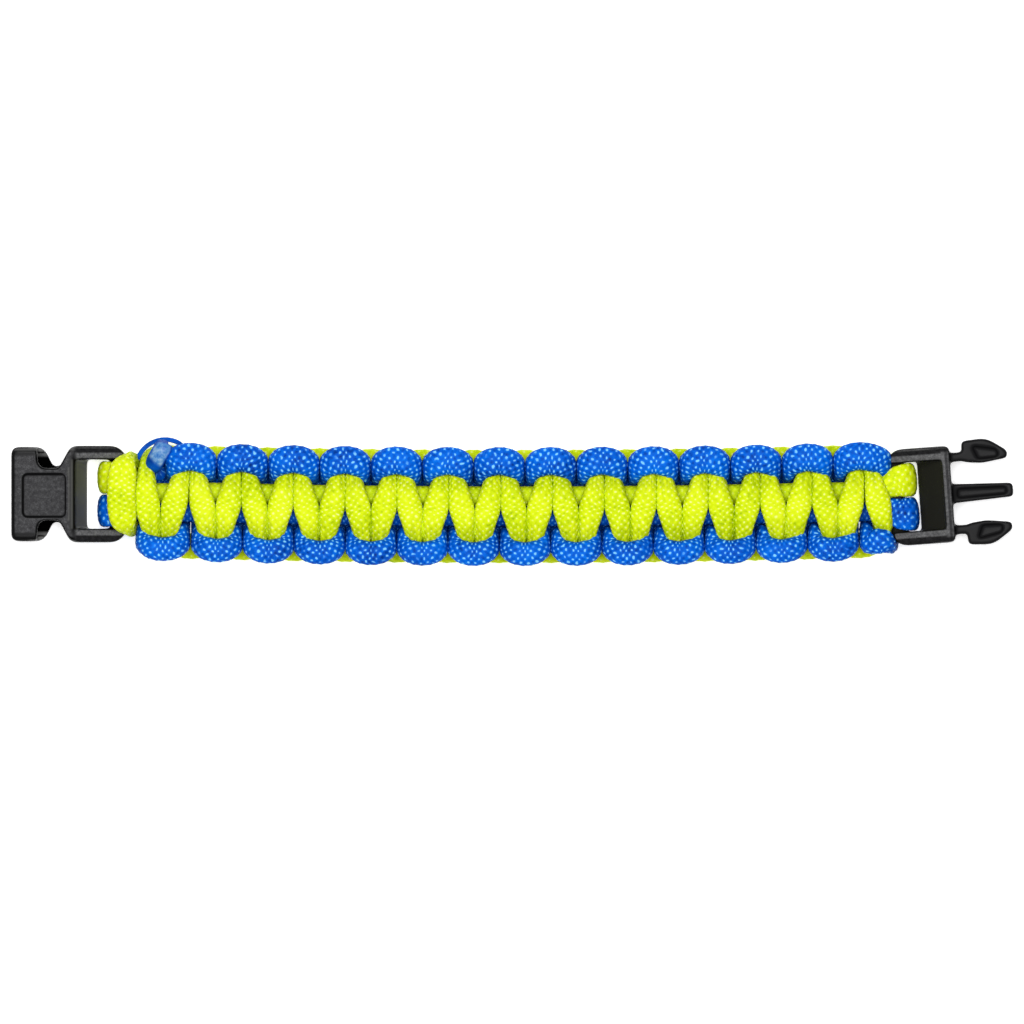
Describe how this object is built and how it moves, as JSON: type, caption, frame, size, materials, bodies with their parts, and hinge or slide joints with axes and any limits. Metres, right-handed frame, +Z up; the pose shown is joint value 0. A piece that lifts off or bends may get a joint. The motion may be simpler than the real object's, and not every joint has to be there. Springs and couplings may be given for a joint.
{
  "type": "paracord bracelet",
  "caption": "Two-colour paracord bracelet, lime and blue flat braid of 29 half knots, laid flat and open between the two halves of a black side-release buckle.",
  "frame": {"origin": "on the surface that the bracelet lies on, below the middle of its bounding box", "axes": "+X along the band towards the plug, +Y across the band, +Z up out of the surface, the braid's front facing up"},
  "size_m": [0.1876, 0.0239, 0.0108],
  "materials": {
    "lime_cord": "woven",
    "blue_cord": "woven",
    "melted_nylon": "satin",
    "buckle_plastic": "satin"
  },
  "bodies": {
    "root": {"socket": "buckle_plastic", "plug": "buckle_plastic", "yellow_cord": "lime_cord", "blue_cord": "blue_cord", "melted_end": "melted_nylon"}
  },
  "joints": []
}
